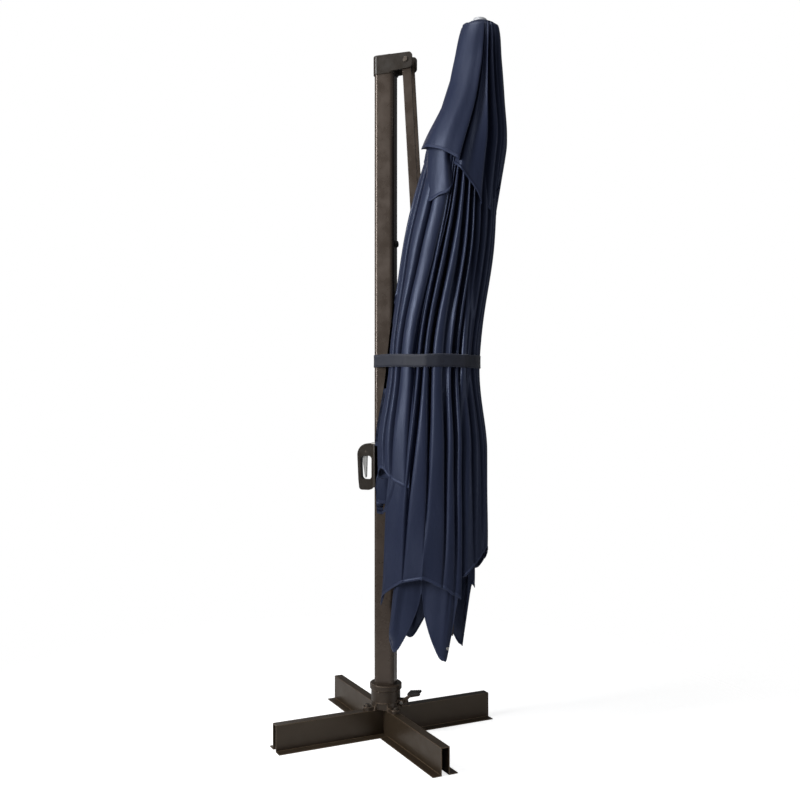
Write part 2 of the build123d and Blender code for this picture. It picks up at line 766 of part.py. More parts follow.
def head_vector(x, y, z):
    """Direction given in the head's own axes."""
    return HEAD_X * x + Vector(0, 1, 0) * y + HEAD_Z * z


def hinge_axis(azimuth):
    """Axis that a rib opens about."""
    angle = radians(azimuth)
    return head_vector(sin(angle), -cos(angle), 0)


def rib_direction(azimuth, fold):
    """Direction of a folded rib, from its pivot to its tip."""
    angle = radians(azimuth)
    out = sin(radians(fold))
    return head_vector(out * cos(angle), out * sin(angle), -cos(radians(fold)))


def pivot_plane(azimuth):
    """Plane through a rib pivot, with the pin along its normal."""
    return Plane(
        origin=head_point(PIVOT_R, azimuth, 0),
        x_dir=rib_direction(azimuth, 0),
        z_dir=hinge_axis(azimuth),
    )


with BuildPart() as crown_hub:
    with BuildSketch(HEAD.offset(-HUB_HALF)):
        Circle(HUB_DISC_R)
        with PolarLocations((SLOT_IN + HUB_DISC_R + 4) / 2, 8):
            Rectangle(HUB_DISC_R + 4 - SLOT_IN, RIB_W + 1, mode=Mode.SUBTRACT)
    extrude(amount=2 * HUB_HALF)
    with BuildSketch(HEAD.offset(HUB_HALF)):
        Circle(STEM_R)
    extrude(amount=PLATE_LOW - HUB_HALF)
    for azimuth in RIB_AZIMUTHS:
        with BuildSketch(pivot_plane(azimuth)):
            Circle(PIN_R)
        extrude(amount=10, both=True, mode=Mode.SUBTRACT)
save(crown_hub.part, "crown_hub")

TIP_IN_HEAD = HEAD.to_local_coords(xz(TIP))
with BuildPart() as head_bracket:
    with BuildSketch(HEAD.offset(-BLOCK_LOW)):
        Circle(BLOCK_R)
    extrude(amount=BLOCK_LOW - HUB_HALF)
    for side in (1, -1):
        with BuildSketch(HEAD_SIDE.offset(side * CHEEK_IN)):
            with Locations((TIP_IN_HEAD.X, TIP_IN_HEAD.Z)):
                Circle(15)
            with Locations((TIP_IN_HEAD.X + 1, TIP_IN_HEAD.Z / 2 - HUB_HALF / 2)):
                Rectangle(28, -TIP_IN_HEAD.Z - HUB_HALF)
        extrude(amount=side * CHEEK_T)
    with BuildSketch(HEAD.offset(-BLOCK_LOW)):
        Circle(POST_R)
    extrude(amount=BLOCK_LOW - HUB_HALF, mode=Mode.SUBTRACT)
    with BuildSketch(HEAD_SIDE):
        with Locations((TIP_IN_HEAD.X, TIP_IN_HEAD.Z)):
            Circle(5)
    extrude(amount=30, both=True, mode=Mode.SUBTRACT)
    with BuildSketch(HEAD.offset(-200)):
        Circle(POST_R + 0.2)
    extrude(amount=200 - BLOCK_LOW, mode=Mode.SUBTRACT)
save(head_bracket.part, "head_bracket")

with BuildPart() as head_pins:
    for azimuth in RIB_AZIMUTHS:
        with BuildSketch(pivot_plane(azimuth)):
            Circle(PIN_R)
        extrude(amount=10, both=True)
    with BuildSketch(HEAD_SIDE):
        with Locations((TIP_IN_HEAD.X, TIP_IN_HEAD.Z)):
            Circle(5)
    extrude(amount=CHEEK_IN + CHEEK_T, both=True)
    for side in (1, -1):
        with BuildSketch(HEAD_SIDE.offset(side * (CHEEK_IN + CHEEK_T))):
            with Locations((TIP_IN_HEAD.X, TIP_IN_HEAD.Z)):
                Circle(8)
        extrude(amount=side * 2)
save(head_pins.part, "head_pins")

with BuildPart() as centre_post:
    with BuildSketch(HEAD.offset(-POST_END)):
        Circle(POST_R)
        Circle(POST_R - 2, mode=Mode.SUBTRACT)
    extrude(amount=POST_END - HUB_HALF)
    with BuildSketch(HEAD.offset(-POST_END)):
        Circle(POST_R + 4)
    extrude(amount=5)
save(centre_post.part, "centre_post")

with BuildPart() as crown_plate:
    with BuildSketch(HEAD.offset(PLATE_LOW)):
        Circle(PLATE_R)
    extrude(amount=8)
    fillet(crown_plate.edges().group_by(Axis.Z)[-1], 3)
save(crown_plate.part, "crown_plate")

FINIAL_R = 29.0
with BuildPart() as finial:
    with BuildSketch(HEAD.offset(PLATE_LOW + 8)):
        Circle(FINIAL_R / 2)
    extrude(amount=6)
    with BuildSketch(HEAD.offset(PLATE_LOW + 14)):
        Circle(FINIAL_R)
    extrude(amount=14, taper=24)
    fillet(finial.edges().filter_by(GeomType.CIRCLE).group_by(Axis.Z)[-1], 8)
save(finial.part, "finial")

# runner on the post: a tongue for each stretcher, and two lugs beside the boom
FOLDED_RUN = 2 * ARM_AT * cos(radians(FOLD_ANGLE))
RUNNER_HALF = 20.0
REAR_GAP = 17.5
REAR_BAR_T = 2.5
SIDE_GAP = RIB_W / 2 + 0.5
SIDE_BAR_T = 2.0
REAR_AZIMUTH = 180

with BuildPart() as runner:
    with BuildSketch(HEAD.offset(-FOLDED_RUN - RUNNER_HALF)):
        Circle(30)
    extrude(amount=2 * RUNNER_HALF)
    with BuildSketch(HEAD.offset(-FOLDED_RUN - 8)):
        for azimuth in RIB_AZIMUTHS:
            if azimuth != REAR_AZIMUTH:
                with PolarLocations(41, 1, start_angle=azimuth):
                    Rectangle(30, RIB_W)
        for side in (1, -1):
            with Locations((-35, side * (REAR_GAP + REAR_BAR_T + 2.5))):
                Rectangle(42, 4)
    extrude(amount=16)
    with BuildSketch(HEAD.offset(-FOLDED_RUN - RUNNER_HALF)):
        Circle(POST_R + RUN_GAP)
    extrude(amount=2 * RUNNER_HALF, mode=Mode.SUBTRACT)
save(runner.part, "runner")

# ---- ribs and stretchers --------------------------------------------------------------------
ROOT_EXTRA = 8.0
ROOT_SOLID = 24.0
FRONT_FOLD_ANGLE = 1.4
FAR_FOLD_ANGLE = 1.4
FAR_AZIMUTH = 45


def rib_length(azimuth):
    """Corner ribs are long, and the one beside the mast is short."""
    if azimuth == REAR_AZIMUTH:
        return REAR_RIB
    return CORNER_RIB if azimuth % 90 else MID_RIB


def fold_angle(azimuth):
    """How far each folded rib stands out from the post."""
    special = {REAR_AZIMUTH: REAR_FOLD_ANGLE, 0: FRONT_FOLD_ANGLE, FAR_AZIMUTH: FAR_FOLD_ANGLE}
    return special.get(azimuth, FOLD_ANGLE)


def rib_side(azimuth):
    """Plane through a rib's pivot with x along the rib and the pin along its normal."""
    return Plane(
        origin=head_point(PIVOT_R, azimuth, 0),
        x_dir=rib_direction(azimuth, fold_angle(azimuth)),
        z_dir=hinge_axis(azimuth),
    )


for azimuth in RIB_AZIMUTHS:
    side_plane = rib_side(azimuth)
    section_plane = Plane(origin=side_plane.origin, x_dir=side_plane.z_dir, z_dir=side_plane.x_dir)
    length = rib_length(azimuth)
    with BuildPart() as rib:
        with BuildSketch(section_plane.offset(-ROOT_EXTRA)):
            Rectangle(RIB_W, RIB_D)
        extrude(amount=length + ROOT_EXTRA)
        with BuildSketch(section_plane.offset(ROOT_SOLID)):
            Rectangle(RIB_W - 2 * RIB_WALL, RIB_D - 2 * RIB_WALL)
        extrude(amount=length - ROOT_SOLID, mode=Mode.SUBTRACT)
        with BuildSketch(side_plane):
            with Locations((0, 0), (ARM_AT, 0)):
                Circle(PIN_R + PIN_GAP)
        extrude(amount=RIB_W, both=True, mode=Mode.SUBTRACT)
    save(rib.part, f"rib_{azimuth:03d}")

for azimuth in RIB_AZIMUTHS:
    side_plane = rib_side(azimuth)
    joint = side_plane.from_local_coords(Vector(ARM_AT, 0, 0))
    arm_plane = Plane(
        origin=joint,
        x_dir=rib_direction(azimuth, -fold_angle(azimuth)),
        z_dir=hinge_axis(azimuth),
    )
    rear = azimuth == REAR_AZIMUTH
    gap = REAR_GAP if rear else SIDE_GAP
    bar = REAR_BAR_T if rear else SIDE_BAR_T
    with BuildPart() as stretcher:
        for side in (1, -1):
            with BuildSketch(arm_plane.offset(side * gap)):
                with Locations((ARM_AT / 2, 0)):
                    SlotCenterToCenter(ARM_AT, 12)
            extrude(amount=side * bar)
        with BuildSketch(arm_plane):
            Circle(PIN_R)
        extrude(amount=gap + bar + 1.5, both=True)
    save(stretcher.part, f"stretcher_{azimuth:03d}")

# ---- folded cloth ---------------------------------------------------------------------------
PANEL_TOP = 20.0
PANEL_LONG = 1950.0
PANEL_SHORT = 1330.0
SLIT_HALF = 38.0


def fold_radius(azimuth, down):
    """Radius of the folded cloth just outside the ribs."""
    if azimuth % 360 == 0:
        return 68 + 0.021 * down
    return 68 + 0.04 * down


def panel_section(azimuths, down, thickness):
    """Outline of one folded panel, seen down the post."""
    inner = []
    outer = []
    for azimuth in azimuths:
        angle = radians(azimuth)
        radius = fold_radius(azimuth, down)
        inner.append((radius * cos(angle), radius * sin(angle)))
        outer.append(((radius + thickness) * cos(angle), (radius + thickness) * sin(angle)))
    return outer + inner[::-1]


def rear_section(side, down, thickness):
    """Outline of a rear panel, from a corner rib to the slit beside the strut."""
    corner = fold_radius(135, down)
    angle = radians(135)
    reach = -corner * sin(angle) - 25
    return [
        ((corner + thickness) * cos(angle), side * (corner + thickness) * sin(angle)),
        (reach - thickness, side * SLIT_HALF),
        (reach, side * SLIT_HALF),
        (corner * cos(angle), side * corner * sin(angle)),
    ]


PANEL_AZIMUTHS = {
    "canopy_front": (-45, 0, 45),
    "canopy_right": (45, 90, 135),
    "canopy_left": (225, 270, 315),
}
for name, azimuths in PANEL_AZIMUTHS.items():
    with BuildPart() as canopy:
        for down in (PANEL_TOP, PANEL_LONG):
            with BuildSketch(HEAD.offset(-down)):
                with BuildLine():
                    Polyline(*panel_section(azimuths, down, CLOTH_T), close=True)
                make_face()
        loft(ruled=True)
    save(canopy.part, name)

for name, side in (("canopy_rear_right", 1), ("canopy_rear_left", -1)):
    with BuildPart() as rear_canopy:
        for down in (PANEL_TOP, PANEL_SHORT):
            with BuildSketch(HEAD.offset(-down)):
                with BuildLine():
                    Polyline(*rear_section(side, down, CLOTH_T), close=True)
                make_face()
        loft(ruled=True)
    save(rear_canopy.part, name)

VENT_TOP_R = 98.0
VENT_LOW_R = 165.0
VENT_LOW = 420.0
with BuildPart() as vent_cover:
    for down, radius in ((-PLATE_LOW, VENT_TOP_R), (VENT_LOW, VENT_LOW_R)):
        with BuildSketch(HEAD.offset(-down)):
            RegularPolygon(radius, 8)
    loft(ruled=True)
    for down, radius in ((-PLATE_LOW + 2, VENT_TOP_R - 3), (VENT_LOW, VENT_LOW_R - 3)):
        with BuildSketch(HEAD.offset(-down)):
            RegularPolygon(radius, 8)
    loft(ruled=True, mode=Mode.SUBTRACT)
    with BuildSketch(HEAD.offset(PLATE_LOW - 2)):
        Circle(STEM_R)
    extrude(amount=2, mode=Mode.SUBTRACT)
save(vent_cover.part, "vent_cover")

# strap round the mast and the folded cloth
STRAP_OUTLINE = (
    (-MAST_D / 2 - 0.4, -MAST_W / 2 - 0.4),
    (205, -125),
    (265, -125),
    (346, -82),
    (346, 82),
    (265, 125),
    (205, 125),
    (-MAST_D / 2 - 0.4, MAST_W / 2 + 0.4),
)
with BuildPart() as tie_strap:
    with BuildSketch(Plane.XY.offset(STRAP_Z)):
        with BuildLine():
            Polyline(*STRAP_OUTLINE, close=True)
        make_face()
        offset(amount=STRAP_T, kind=Kind.INTERSECTION)
        with BuildLine():
            Polyline(*STRAP_OUTLINE, close=True)
        make_face(mode=Mode.SUBTRACT)
    extrude(amount=STRAP_W)
save(tie_strap.part, "tie_strap")
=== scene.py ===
import math

import bmesh
import bpy
import numpy as np
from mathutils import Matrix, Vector


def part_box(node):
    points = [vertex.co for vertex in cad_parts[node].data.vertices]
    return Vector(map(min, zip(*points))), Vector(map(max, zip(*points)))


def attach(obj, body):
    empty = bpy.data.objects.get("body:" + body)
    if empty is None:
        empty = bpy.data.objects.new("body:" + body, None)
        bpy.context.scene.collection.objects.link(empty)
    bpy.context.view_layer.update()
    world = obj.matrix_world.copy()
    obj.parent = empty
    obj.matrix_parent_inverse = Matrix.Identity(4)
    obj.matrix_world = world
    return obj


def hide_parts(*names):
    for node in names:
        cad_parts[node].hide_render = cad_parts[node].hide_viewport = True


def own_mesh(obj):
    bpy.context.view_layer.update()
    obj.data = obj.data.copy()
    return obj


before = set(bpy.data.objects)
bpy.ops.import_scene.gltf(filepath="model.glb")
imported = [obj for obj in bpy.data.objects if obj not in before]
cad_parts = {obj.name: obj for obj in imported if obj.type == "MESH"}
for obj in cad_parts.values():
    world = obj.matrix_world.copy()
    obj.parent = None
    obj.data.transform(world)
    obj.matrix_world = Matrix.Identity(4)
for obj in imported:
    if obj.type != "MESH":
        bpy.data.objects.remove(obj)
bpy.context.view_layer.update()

SCENE = bpy.context.scene


# ---- camera, floor and light -------------------------------------------------------------
def add_camera():
    data = bpy.data.cameras.new("camera")
    data.lens, data.sensor_width, data.shift_x = 42.3, 36.0, 0.056
    data.clip_start, data.clip_end = 0.1, 60.0
    cam = bpy.data.objects.new("camera", data)
    SCENE.collection.objects.link(cam)
    cam.location = (1.0993, -3.3059, 1.2543)
    cam.rotation_mode = "QUATERNION"
    cam.rotation_quaternion = Vector((-0.3463, 0.9381, -0.0060)).to_track_quat("-Z", "Y")
    SCENE.camera = cam


def add_area(name, place, target, size, watts, colour=(1, 1, 1)):
    data = bpy.data.lights.new(name, "AREA")
    data.shape, data.size, data.size_y = "RECTANGLE", size[0], size[1]
    data.energy, data.color = watts, colour
    lamp = bpy.data.objects.new(name, data)
    SCENE.collection.objects.link(lamp)
    lamp.location = place
    lamp.rotation_euler = (Vector(target) - Vector(place)).to_track_quat("-Z", "Y").to_euler()


def set_world():
    world = bpy.data.worlds.new("studio")
    SCENE.world = world
    world.use_nodes = True
    nt = world.node_tree
    nt.nodes.clear()
    out = nt.nodes.new("ShaderNodeOutputWorld")
    seen = nt.nodes.new("ShaderNodeBackground")
    seen.inputs["Color"].default_value = (1, 1, 1, 1)
    seen.inputs["Strength"].default_value = 1.0
    lit = nt.nodes.new("ShaderNodeBackground")
    lit.inputs["Color"].default_value = (0.93, 0.96, 1, 1)
    lit.inputs["Strength"].default_value = 0.10
    path = nt.nodes.new("ShaderNodeLightPath")
    mix = nt.nodes.new("ShaderNodeMixShader")
    nt.links.new(path.outputs["Is Camera Ray"], mix.inputs[0])
    nt.links.new(lit.outputs[0], mix.inputs[1])
    nt.links.new(seen.outputs[0], mix.inputs[2])
    nt.links.new(mix.outputs[0], out.inputs["Surface"])


add_camera()
set_world()
add_area("key", (-2.3, -2.4, 2.5), (0.2, 0, 1.4), (0.75, 2.6), 112)
add_area("side", (3.1, -1.1, 1.7), (0.3, 0, 1.3), (0.25, 2.8), 13)
add_area("top", (-0.3, -0.9, 4.3), (0.1, 0, 0), (1.4, 1.4), 24)
add_area("back", (-2.2, 2.6, 2.4), (0.2, 0, 1.3), (0.8, 2.4), 12)
SCENE.view_settings.view_transform = "Standard"


# ---- materials ---------------------------------------------------------------------------
class Shader:
    """A node material with one Principled surface."""

    def __init__(self, name, colour, rough, metallic=0.0, **sockets):
        self.mat = bpy.data.materials.new(name)
        self.mat.use_nodes = True
        self.nt = self.mat.node_tree
        self.bsdf = self.nt.nodes["Principled BSDF"]
        self.set(self.bsdf, "Base Color", (*colour, 1))
        self.set(self.bsdf, "Roughness", rough)
        self.set(self.bsdf, "Metallic", metallic)
        for key, value in sockets.items():
            self.set(self.bsdf, key.replace("_", " "), value)
        self.height = None

    def set(self, node, socket, value):
        node.inputs[socket].default_value = value

    def node(self, kind, **values):
        made = self.nt.nodes.new("ShaderNode" + kind)
        for key, value in values.items():
            if key in ("operation", "data_type", "wave_type", "bands_direction", "samples"):
                setattr(made, key, value)
            else:
                made.inputs[key.replace("_", " ")].default_value = value
        return made

    def link(self, a, b):
        self.nt.links.new(a, b)

    def coords(self, scale=(1, 1, 1), kind="Object"):
        where = self.node("TexCoord")
        mapping = self.node("Mapping", Scale=scale)
        self.link(where.outputs[kind], mapping.inputs["Vector"])
        return mapping.outputs[0]

    def noise(self, scale, detail=3.0, rough=0.5, stretch=(1, 1, 1), kind="Object"):
        tex = self.node("TexNoise", Scale=scale, Detail=detail, Roughness=rough)
        self.link(self.coords(stretch, kind), tex.inputs["Vector"])
        return tex.outputs["Fac"]

    def spread(self, value, low, high, at=(0.3, 0.7)):
        ramp = self.node("MapRange", From_Min=at[0], From_Max=at[1], To_Min=low, To_Max=high)
        self.link(value, ramp.inputs["Value"])
        return ramp.outputs[0]

    def tint(self, fac, colour_a, colour_b):
        mix = self.node("Mix", data_type="RGBA")
        mix.inputs[6].default_value = (*colour_a, 1)
        mix.inputs[7].default_value = (*colour_b, 1)
        self.link(fac, mix.inputs[0])
        return mix.outputs[2]

    def blend_colour(self, fac, under, over):
        mix = self.node("Mix", data_type="RGBA")
        self.link(under, mix.inputs[6])
        mix.inputs[7].default_value = (*over, 1)
        self.link(fac, mix.inputs[0])
        return mix.outputs[2]

    def bump(self, value, strength, distance):
        made = self.node("Bump", Strength=strength, Distance=distance)
        self.link(value, made.inputs["Height"])
        if self.height is not None:
            self.link(self.height, made.inputs["Normal"])
        self.height = made.outputs[0]
        self.link(self.height, self.bsdf.inputs["Normal"])

    def rounded(self, radius):
        """Softens the look of sharp edges."""
        made = self.node("Bevel", samples=4, Radius=radius)
        self.height = made.outputs[0]
        self.link(self.height, self.bsdf.inputs["Normal"])
        return made.outputs[0]

    def painted_edge_highlight(self, radius, under, over, low=0.02, high=0.22):
        """Painted highlight: lighter colour where an edge turns away from the face, as if light caught it.
        """
        bevel = self.node("Bevel", samples=4, Radius=radius)
        geometry = self.node("NewGeometry")
        dot = self.node("VectorMath", operation="DOT_PRODUCT")
        self.link(bevel.outputs[0], dot.inputs[0])
        self.link(geometry.outputs["Normal"], dot.inputs[1])
        away = self.node("Math", operation="SUBTRACT")
        away.inputs[0].default_value = 1.0
        self.link(dot.outputs["Value"], away.inputs[1])
        return self.blend_colour(self.spread(away.outputs[0], 0, 0.75, (low, high)), under, over)


def lighter(colour, by):
    return tuple(min(1.0, c * by) for c in colour)


def coated_metal(name, colour, rough, metallic=0.35, edge_highlight=2.2, radius=0.002, grain=900, brushed=None):
    """Satin powder coat: fine orange peel, a little uneven, with a painted highlight along its edges."""
    s = Shader(name, colour, rough, metallic)
    s.rounded(radius)
    cloudy = s.tint(s.noise(7, 4), lighter(colour, 0.86), lighter(colour, 1.14))
    # painted highlight: the edges are drawn lighter than the coat by the given edge factor
    s.link(s.painted_edge_highlight(radius * 1.6, cloudy, lighter(colour, edge_highlight)), s.bsdf.inputs["Base Color"])
    s.link(s.spread(s.noise(23, 4), rough - 0.06, rough + 0.08), s.bsdf.inputs["Roughness"])
    if brushed:
        s.bump(s.noise(60, 3, 0.6, brushed), 0.10, 0.0006)
    s.bump(s.noise(grain, 2, 0.6), 0.16, 0.00025)
    return s.mat


def bare_metal(name, colour, rough, along=(60, 60, 2)):
    """Drawn or plated metal with fine lines along it."""
    s = Shader(name, colour, rough, 1.0)
    s.rounded(0.0008)
    s.link(s.tint(s.noise(12, 4), lighter(colour, 0.85), lighter(colour, 1.08)), s.bsdf.inputs["Base Color"])
    s.link(s.spread(s.noise(9, 5, 0.6, along), rough - 0.08, rough + 0.12), s.bsdf.inputs["Roughness"])
    s.bump(s.noise(12, 4, 0.6, along), 0.12, 0.0002)
    return s.mat


def moulded(name, colour, rough, grain=1400, edge_highlight=1.8, radius=0.0012):
    """Injection moulded plastic with a fine spark-eroded texture."""
    s = Shader(name, colour, rough, 0.0)
    s.rounded(radius)
    cloudy = s.tint(s.noise(15, 3), lighter(colour, 0.88), lighter(colour, 1.12))
    # painted highlight: the edges are drawn lighter than the plastic by the given edge factor
    s.link(s.painted_edge_highlight(radius * 1.5, cloudy, lighter(colour, edge_highlight)), s.bsdf.inputs["Base Color"])
    s.link(s.spread(s.noise(40, 3), rough - 0.05, rough + 0.07), s.bsdf.inputs["Roughness"])
    s.bump(s.noise(grain, 2, 0.7), 0.28, 0.0002)
    return s.mat


def cloth(name, colour, rough, pitch=0.0011, sheen=0.06):
    """Woven polyester: plain weave, slubs, soft creases and a satin sheen."""
    s = Shader(name, colour, rough, 0.0, Sheen_Weight=sheen, Sheen_Roughness=0.38, Specular_IOR_Level=0.42)
    s.set(s.bsdf, "Specular Tint", (0.62, 0.72, 1.0, 1))
    s.set(s.bsdf, "Sheen Tint", (0.62, 0.70, 1.0, 1))
    scale = 0.314 / pitch
    warp = s.node("TexWave", wave_type="BANDS", bands_direction="X", Scale=scale, Distortion=0.6, Detail=1.0)
    weft = s.node("TexWave", wave_type="BANDS", bands_direction="Y", Scale=scale, Distortion=0.6, Detail=1.0)
    for tex in (warp, weft):
        s.link(s.coords(kind="UV"), tex.inputs["Vector"])
    woven = s.node("Math", operation="MULTIPLY")
    s.link(warp.outputs["Fac"], woven.inputs[0])
    s.link(weft.outputs["Fac"], woven.inputs[1])
    broad = s.tint(s.noise(5, 4, 0.55, (1, 1, 0.5)), lighter(colour, 0.80), lighter(colour, 1.25))
    thread = s.spread(woven.outputs[0], 0.0, 0.35, (0, 1))
    s.link(s.blend_colour(thread, broad, lighter(colour, 1.7)), s.bsdf.inputs["Base Color"])
    worn = s.noise(14, 4, 0.5, (1, 1, 0.35))
    s.link(s.spread(worn, rough - 0.07, rough + 0.10), s.bsdf.inputs["Roughness"])
    s.bump(s.noise(16, 4, 0.55, (1, 1, 0.22)), 0.38, 0.006)
    s.bump(s.noise(60, 4, 0.6, (1, 1, 0.5)), 0.22, 0.0015)
    s.bump(woven.outputs[0], 0.25, 0.0002)
    return s.mat


def webbing(name, colour, rough):
    """Ribbed strap: ribs across it and a line of stitches near each edge."""
    s = Shader(name, colour, rough, 0.0, Sheen_Weight=0.3, Sheen_Roughness=0.4)
    rib = s.node("TexWave", wave_type="BANDS", bands_direction="X", Scale=0.314 / 0.0022, Distortion=0.3)
    s.link(s.coords(kind="UV"), rib.inputs["Vector"])
    parts = s.node("SeparateXYZ")
    s.link(s.coords(kind="UV"), parts.inputs[0])
    off = s.node("Math", operation="SUBTRACT")
    off.inputs[1].default_value = 0.0234
    s.link(parts.outputs["Y"], off.inputs[0])
    away = s.node("Math", operation="ABSOLUTE")
    s.link(off.outputs[0], away.inputs[0])
    base = s.tint(s.noise(30, 3), lighter(colour, 0.8), lighter(colour, 1.3))
    s.link(s.blend_colour(s.spread(away.outputs[0], 0, 0.7, (0.0195, 0.0225)), base, lighter(colour, 2.4)),
           s.bsdf.inputs["Base Color"])
    s.bump(rib.outputs["Fac"], 0.4, 0.0005)
    s.bump(s.noise(160, 3), 0.2, 0.0005)
    return s.mat


NAVY = (0.021, 0.027, 0.056)
MATERIALS = {
    # the edge factor given to the coated and moulded materials below sets their painted edge highlight
    "base": coated_metal("base_coat", (0.060, 0.042, 0.026), 0.34, edge_highlight=5.0, radius=0.003),
    "hub": coated_metal("hub_coat", (0.056, 0.040, 0.028), 0.36, edge_highlight=5.0, radius=0.003, grain=600),
    "mast": coated_metal("mast_coat", (0.085, 0.064, 0.050), 0.28, edge_highlight=1.6, brushed=(1, 1, 0.02)),
    "cast": coated_metal("cast_coat", (0.036, 0.029, 0.024), 0.42, edge_highlight=2.8, grain=500),
    "rib": coated_metal("rib_coat", (0.046, 0.037, 0.030), 0.38, edge_highlight=1.8, radius=0.001),
    "steel": bare_metal("plated_steel", (0.46, 0.45, 0.43), 0.34),
    "dark_steel": bare_metal("bronzed_steel", (0.16, 0.135, 0.115), 0.38),
    "post": bare_metal("drawn_aluminium", (0.60, 0.59, 0.57), 0.36),
    "lever": bare_metal("brushed_lever", (0.72, 0.72, 0.70), 0.32),
    "plastic": moulded("dark_plastic", (0.028, 0.021, 0.015), 0.34, edge_highlight=4.0),
    "nylon": moulded("nylon", (0.62, 0.60, 0.56), 0.42),
    "finial": moulded("finial_plastic", (0.60, 0.61, 0.64), 0.35, edge_highlight=1.2),
    "band": moulded("band_plastic", (0.42, 0.44, 0.49), 0.5, edge_highlight=1.2),
    "rubber": moulded("pedal_rubber", (0.020, 0.018, 0.017), 0.62, grain=800),
    "cloth": cloth("navy_cloth", NAVY, 0.36),
    "hem": cloth("navy_hem", lighter(NAVY, 1.25), 0.45, pitch=0.0016),
    "strap": webbing("navy_strap", (0.009, 0.012, 0.026), 0.55),
}
LOOKS = {
    "base": ["beam_long", "beam_cross"],
    "hub": ["hub_casting", "turning_collar", "pedal_arm"],
    "steel": ["clamp_nuts", "spindle", "pedal_pin", "head_pins", "bracket_bolts", "strut_spacer"],
    "dark_steel": ["clamp_bolts", "slider_pins", "cap_pivot_bolt", "strut_end_bolts"],
    "rubber": ["pedal_pad", "stop_knob"],
    "mast": ["mast_tube", "boom_tube", "strut_bars"],
    "plastic": ["top_cap", "slider_sleeve", "handle_grip", "runner"],
    "nylon": ["thrust_washer", "mast_insert", "lower_liner", "upper_liner"],
    "cast": ["boom_foot", "boom_tip", "strut_bracket", "crown_hub", "head_bracket"],
    "post": ["centre_post"],
    "lever": ["trigger_lever"],
    "finial": ["finial"],
    "band": ["crown_plate"],
    "rib": [f"{kind}_{a:03d}" for kind in ("rib", "stretcher") for a in range(0, 360, 45)],
    "cloth": [
        "canopy_front", "canopy_right", "canopy_left", "canopy_rear_right", "canopy_rear_left", "vent_cover",
    ],
    "strap": ["tie_strap"],
}
for look, names in LOOKS.items():
    for name in names:
        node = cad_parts[name]
        node.data.materials.clear()
        node.data.materials.append(MATERIALS[look])


# ---- cloth: one pleated sheet per layer ----------------------------------------------------
def smooth_at(stations, z):
    """Smooth curves through a few stations (height, value, value, ...) at heights z."""
    rows = np.array(sorted(stations), float)
    h = rows[:, 0]
    k = np.clip(np.searchsorted(h, z) - 1, 0, len(h) - 2)
    f = np.clip((z - h[k]) / (h[k + 1] - h[k]), 0, 1)
    out = []
    for i in range(1, rows.shape[1]):
        v = rows[:, i]
        rise = np.diff(v) / np.diff(h)
        slope = np.zeros_like(v)
        level = rise[:-1] * rise[1:] <= 0
        slope[1:-1] = np.where(level, 0, 2 * rise[:-1] * rise[1:] / np.where(level, 1, rise[:-1] + rise[1:]))
        slope[0], slope[-1] = rise[0], rise[-1]
        gap = h[k + 1] - h[k]
        out.append((2 * f**3 - 3 * f**2 + 1) * v[k] + (f**3 - 2 * f**2 + f) * gap * slope[k]
                   + (-2 * f**3 + 3 * f**2) * v[k + 1] + (f**3 - f**2) * gap * slope[k + 1])
    return out


def soften(values, rounds):
    """Evens out a run of values down a strand, keeping its two ends."""
    for _ in range(rounds):
        values[1:-1] = 0.25 * values[:-2] + 0.5 * values[1:-1] + 0.25 * values[2:]
    return values


def strand_points(rings, top, hem, line, rows):
    """One line of cloth from the crown to the hem: line holds (z, angle round the bundle, depth in mm)."""
    t = np.linspace(0, 1, rows)
    z = top + (hem - top) * t
    line = np.array(sorted(line), float)
    angle = soften(np.interp(z, line[:, 0], line[:, 1]), 12)
    depth = soften(np.interp(z, line[:, 0], line[:, 2]), 12) / 1000
    sway = np.sin(6.2 * z + 0.05 * line[0, 1]) * np.clip((top - z) / 0.6, 0, 1)
    angle = angle + 1.6 * sway * np.sin(np.radians(np.abs(line[0, 1])))
    xc, w, h = smooth_at(rings, z)
    a = np.radians(angle)
    ripples = 0.0016 * np.sin(9.0 * z + 3.1 * a) + 0.0008 * np.sin(19.0 * z - 4.3 * a + 1.3)
    wave = ripples * np.clip((top - z) / 0.3, 0, 1)
    x, y = w * np.cos(a), h * np.sin(a)
    reach = np.hypot(x, y)
    k = np.maximum((reach - depth + wave) / reach, 0.12)
    return np.stack([xc + x * k, y * k, z], 1)


def loft(strands, step):
    """Smooth closed surface through the strands; the columns follow one another round the loop."""
    p = np.array(strands)
    before, after, beyond = np.roll(p, 1, 0), np.roll(p, -1, 0), np.roll(p, -2, 0)
    out = []
    for i in range(step):
        f = i / step
        m0, m1 = 0.42 * (after - before), 0.42 * (beyond - p)
        out.append((2 * f**3 - 3 * f**2 + 1) * p + (f**3 - 2 * f**2 + f) * m0
                   + (-2 * f**3 + 3 * f**2) * after + (f**3 - f**2) * m1)
    return np.stack(out, 1).reshape(-1, p.shape[1], 3)


